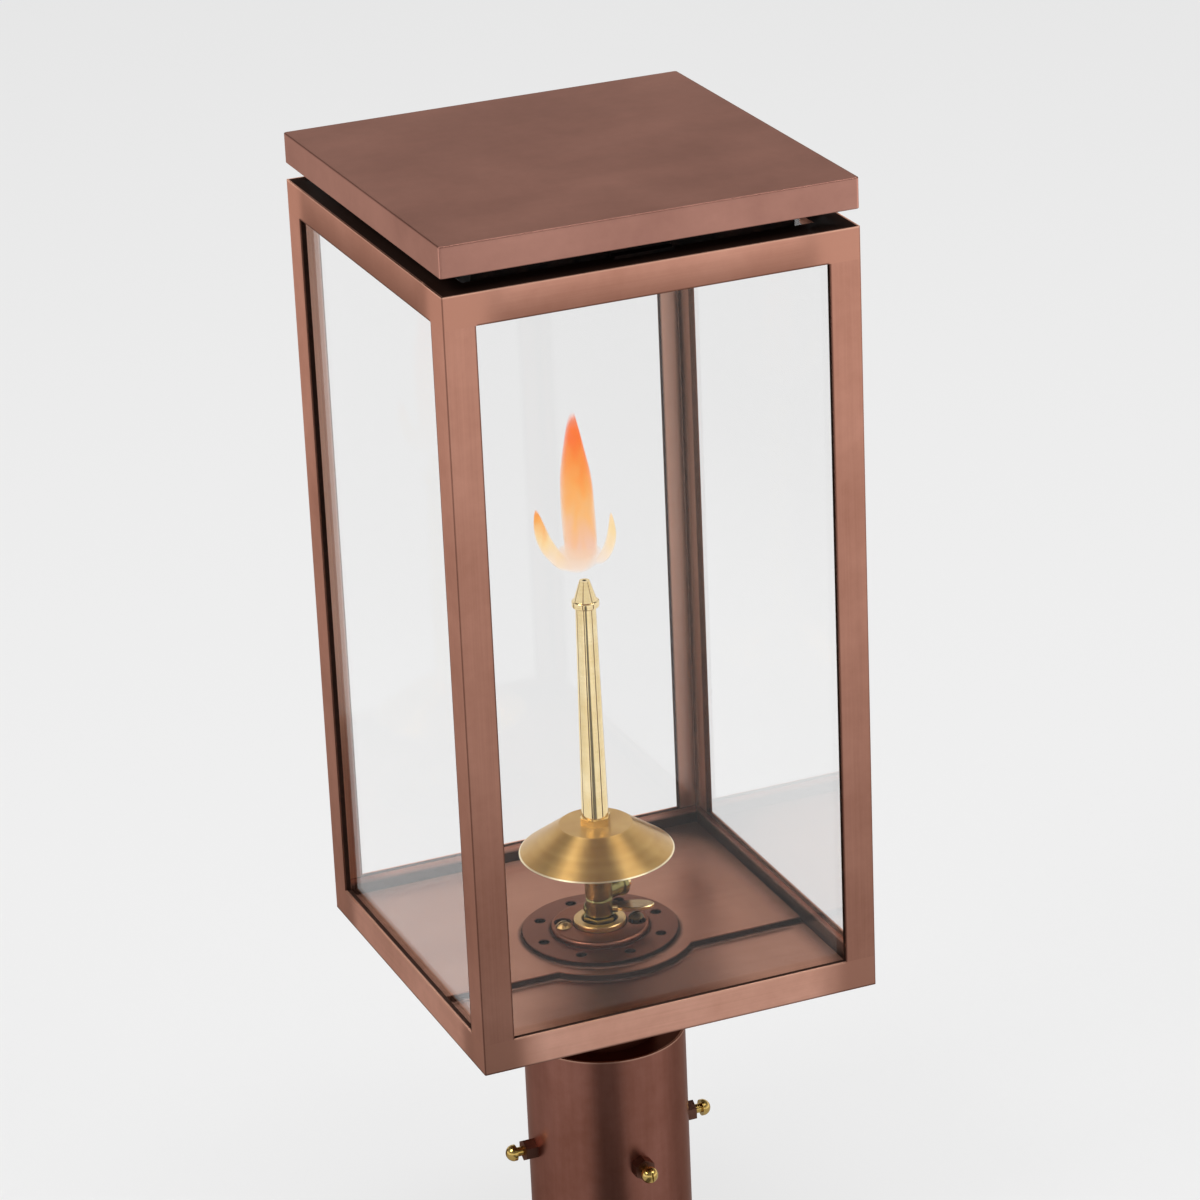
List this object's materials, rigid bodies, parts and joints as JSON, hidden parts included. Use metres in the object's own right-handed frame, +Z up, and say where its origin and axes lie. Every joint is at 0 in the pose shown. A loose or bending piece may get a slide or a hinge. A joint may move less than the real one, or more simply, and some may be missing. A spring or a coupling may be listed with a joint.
{
  "type": "post-top gas lantern",
  "caption": "Square copper and glass gas lantern with a vented flat roof, a brass burner with a turning cock, and a collar that slips over a round post.",
  "frame": {"origin": "on the post's axis at the lower mouth of the collar", "axes": "+Z up along the post, -Y the front face, +X to the right of someone who looks at the front"},
  "size_m": [0.21, 0.21, 0.5799],
  "materials": {
    "antique_copper": "satin antique copper with brushed streaks",
    "floor_copper": "satin antique copper, darker at the edges",
    "blackened_copper": "copper blackened by heat and soot",
    "clear_glass": "clear float glass",
    "polished_brass": "polished brass",
    "satin_brass": "satin spun brass"
  },
  "bodies": {
    "lantern": {"post_front_left": "antique_copper", "post_front_right": "antique_copper", "post_back_right": "antique_copper", "post_back_left": "antique_copper", "top_rail_front": "antique_copper", "top_rail_right": "antique_copper", "top_rail_back": "antique_copper", "top_rail_left": "antique_copper", "bottom_rail_front": "antique_copper", "bottom_rail_right": "antique_copper", "bottom_rail_back": "antique_copper", "bottom_rail_left": "antique_copper", "pane_front": "clear_glass", "pane_right": "clear_glass", "pane_back": "clear_glass", "pane_left": "clear_glass", "glass_clips": "antique_copper", "base_pan": "floor_copper", "base_strap": "floor_copper", "air_ring": "floor_copper", "burner_screws": "polished_brass", "neck_tube": "antique_copper", "collar_cap": "antique_copper", "post_collar": "antique_copper", "collar_nuts": "antique_copper"},
    "roof": {"roof_lid": "antique_copper", "roof_baffle": "blackened_copper", "roof_bracket_front": "blackened_copper", "roof_bracket_right": "blackened_copper", "roof_bracket_back": "blackened_copper", "roof_bracket_left": "blackened_copper"},
    "burner": {"burner_plate": "floor_copper", "seat_ring": "polished_brass", "valve_body": "polished_brass", "back_nut": "polished_brass", "inlet_fitting": "polished_brass", "deflector_disc": "satin_brass", "tube_nut": "polished_brass", "burner_tube": "polished_brass", "burner_tip": "polished_brass"},
    "key": {"valve_key": "polished_brass", "key_washer": "polished_brass", "key_screw": "polished_brass"},
    "flow": {"flow_screw": "polished_brass"},
    "set_screw_front": {"set_screw_front": "polished_brass"},
    "set_screw_right": {"set_screw_right": "polished_brass"},
    "set_screw_back": {"set_screw_back": "polished_brass"},
    "set_screw_left": {"set_screw_left": "polished_brass"}
  },
  "joints": [
    {"name": "roof_lift", "type": "slide", "parent": "lantern", "child": "roof", "axis": [0, 0, 1], "range_m": [0, 0.03]},
    {"name": "burner_twist", "type": "hinge", "parent": "lantern", "child": "burner", "pos_m": [0, 0, 0.172], "axis": [0, 0, 1], "range_deg": [0, 14]},
    {"name": "cock_turn", "type": "hinge", "parent": "burner", "child": "key", "pos_m": [0, 0, 0.1815], "axis": [0.9336, -0.3584, 0], "range_deg": [0, 90]},
    {"name": "flow_turn", "type": "hinge", "parent": "burner", "child": "flow", "pos_m": [0, 0, 0.1895], "axis": [0.9397, 0.342, 0], "range_deg": [-90, 90]},
    {"name": "set_screw_front_run", "type": "slide", "parent": "lantern", "child": "set_screw_front", "axis": [0, 1, 0], "range_m": [-0.006, 0.004]},
    {"name": "set_screw_right_run", "type": "slide", "parent": "lantern", "child": "set_screw_right", "axis": [-1, 0, 0], "range_m": [-0.006, 0.004]},
    {"name": "set_screw_back_run", "type": "slide", "parent": "lantern", "child": "set_screw_back", "axis": [0, -1, 0], "range_m": [-0.006, 0.004]},
    {"name": "set_screw_left_run", "type": "slide", "parent": "lantern", "child": "set_screw_left", "axis": [1, 0, 0], "range_m": [-0.006, 0.004]}
  ]
}
